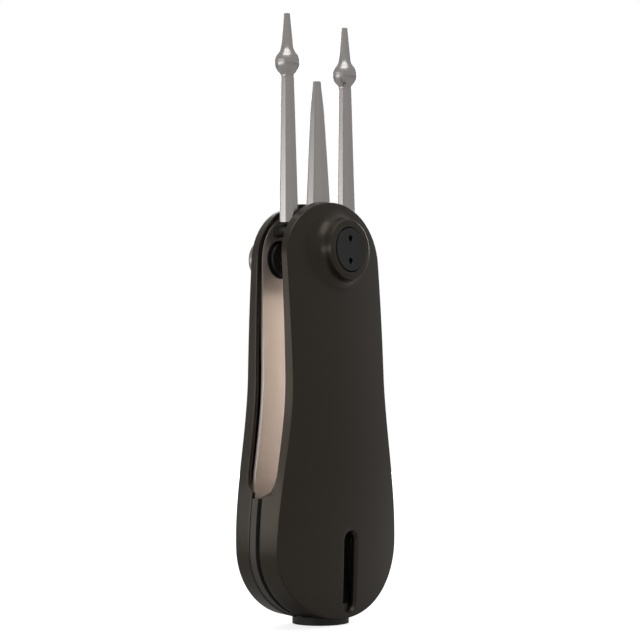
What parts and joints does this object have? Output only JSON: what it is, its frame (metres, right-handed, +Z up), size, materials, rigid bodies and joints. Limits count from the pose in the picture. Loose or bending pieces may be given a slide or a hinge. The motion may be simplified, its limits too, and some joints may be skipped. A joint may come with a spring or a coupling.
{
  "type": "divot repair tool",
  "caption": "Folding divot repair tool with swing-out prongs, push-button lock, magnetic ball marker and pencil sharpener in a shell handle.",
  "frame": {"origin": "centre of the pencil bore at the foot of the handle, on the middle plane between the two shells", "axes": "+Z up the handle towards its head and along the open prongs, +Y out of the front face with the ball marker, +X across the handle to the right as seen from the back"},
  "size_m": [0.035, 0.0161, 0.1148],
  "materials": {
    "shell": "soft matt coating, warm near-black",
    "liner": "satin champagne",
    "core": "satin grey-brown edge",
    "cap": "satin near-black",
    "prong": "satin nickel on ground facets",
    "button": "bead-blasted nickel",
    "marker": "brushed nickel disc",
    "black_pin": "black oxide",
    "steel_hardware": "turned steel",
    "bronze": "turned bronze",
    "spring_wire": "drawn wire",
    "magnet": "plated",
    "sharpener": "moulded, fine texture",
    "blade": "ground steel"
  },
  "bodies": {
    "handle": {"back_shell": "shell", "front_shell": "shell", "back_liner": "liner", "front_liner": "liner", "core_spacer": "core", "pivot_axle": "steel_hardware", "pivot_cap": "cap", "back_washer": "bronze", "front_washer": "bronze", "torsion_spring": "spring_wire", "stop_post": "black_pin", "plunger_bush": "black_pin", "button_spring": "spring_wire", "marker_magnet": "magnet", "sharpener_body": "sharpener", "sharpener_blade": "blade", "blade_screw": "steel_hardware", "assembly_screws": "steel_hardware", "thread_inserts": "bronze"},
    "fork": {"prong_carrier": "prong", "pivot_bush": "bronze", "left_prong": "prong", "middle_prong": "prong", "right_prong": "prong"},
    "button": {"release_button": "button", "lock_plunger": "black_pin"},
    "marker": {"ball_marker": "marker"}
  },
  "joints": [
    {"name": "prong_fold", "type": "hinge", "parent": "handle", "child": "fork", "pos_m": [0, 0, 0.0698], "axis": [0, 1, 0], "range_deg": [0, 180], "stiffness_Nm_per_rad": 0.01, "springref_deg": -34.38},
    {"name": "button_press", "type": "slide", "parent": "handle", "child": "button", "axis": [0, -1, 0], "range_m": [0, 0.0012], "stiffness_N_per_m": 300, "springref_m": -0.002, "deforming": ["button_spring"]},
    {"name": "marker_lift", "type": "slide", "parent": "handle", "child": "marker", "axis": [0, 1, 0], "range_m": [0, 0.015]}
  ]
}
